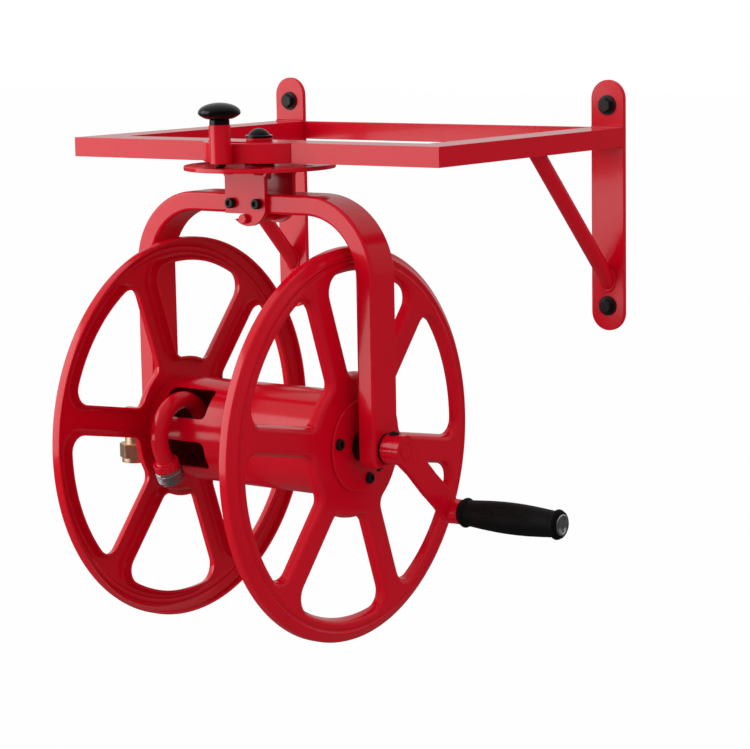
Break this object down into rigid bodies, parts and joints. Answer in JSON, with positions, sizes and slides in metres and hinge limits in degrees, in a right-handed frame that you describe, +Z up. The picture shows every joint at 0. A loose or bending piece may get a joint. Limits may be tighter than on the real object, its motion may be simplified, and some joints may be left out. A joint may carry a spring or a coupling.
{
  "type": "hose reel",
  "caption": "Wall-mounted garden hose reel on a swivelling yoke, with spoked steel discs, a hand crank, a sprung index latch, a hose outlet and a swivel inlet.",
  "frame": {"origin": "centre of the four wall bolts, on the wall plane at the plates' backs", "axes": "+Z up, +Y into the wall, +X to the right for a person who faces the wall"},
  "size_m": [0.5162, 0.557, 0.5224],
  "materials": {
    "red_paint": "glossy red powder coat",
    "black_steel": "black oxide",
    "black_plastic": "glossy",
    "black_rubber": "matte",
    "zinc_steel": "bright zinc",
    "brass": "machined",
    "chrome": "polished"
  },
  "bodies": {
    "frame": {"wall_plate_left": "red_paint", "wall_plate_right": "red_paint", "frame_front": "red_paint", "frame_left": "red_paint", "frame_right": "red_paint", "frame_back": "red_paint", "brace_left": "red_paint", "brace_right": "red_paint", "wall_bolts": "black_steel", "wall_washers": "black_steel", "pivot_boss": "red_paint", "pivot_bolt": "black_steel", "pivot_nut": "zinc_steel", "pivot_spacer": "black_plastic", "latch_bow": "red_paint", "latch_tube": "red_paint", "latch_neck": "black_plastic"},
    "latch": {"latch_pin": "black_steel", "latch_spring": "zinc_steel", "latch_knob": "black_plastic"},
    "swivel": {"index_plate": "red_paint", "bracket_front": "red_paint", "bracket_rear": "red_paint", "bracket_bolts": "black_steel", "bracket_nuts": "black_steel", "hook_pin": "red_paint", "yoke": "red_paint", "bush_left": "black_plastic", "bush_right": "black_plastic", "grease_fitting": "black_steel", "inlet_elbow": "brass", "inlet_seals": "black_rubber", "inlet_washer": "black_rubber"},
    "reel": {"disc_left": "red_paint", "disc_right": "red_paint", "drum": "red_paint", "drum_end_left": "zinc_steel", "drum_end_right": "zinc_steel", "hub_cover_left": "red_paint", "hub_cover_right": "red_paint", "hub_screws": "black_steel", "axle": "zinc_steel", "water_shaft": "zinc_steel", "water_hub": "zinc_steel", "outlet_pipe": "red_paint", "outlet_collar": "red_paint", "outlet_thread": "zinc_steel", "crank_ring": "black_plastic", "crank_sleeve": "red_paint", "crank_screw": "black_steel", "crank_arm": "red_paint", "grip_pin": "zinc_steel"},
    "handle": {"grip": "black_rubber", "grip_cap": "chrome"},
    "hose_nut": {"inlet_nut": "brass"}
  },
  "joints": [
    {"name": "swivel_turn", "type": "hinge", "parent": "frame", "child": "swivel", "pos_m": [0, -0.31115, 0.03025], "axis": [0, 0, 1], "continuous": true},
    {"name": "latch_slide", "type": "slide", "parent": "frame", "child": "latch", "axis": [0, 0, 1], "range_m": [-0.004, 0.009], "stiffness_N_per_m": 1500, "deforming": ["latch_spring"]},
    {"name": "reel_spin", "type": "hinge", "parent": "swivel", "child": "reel", "pos_m": [0, -0.31115, -0.20645], "axis": [1, 0, 0], "continuous": true},
    {"name": "handle_spin", "type": "hinge", "parent": "reel", "child": "handle", "pos_m": [0.18055, -0.23782, -0.27677], "axis": [1, 0, 0], "continuous": true},
    {"name": "hose_nut_spin", "type": "hinge", "parent": "swivel", "child": "hose_nut", "pos_m": [-0.171, -0.31115, -0.22955], "axis": [0, 0, 1], "continuous": true}
  ]
}
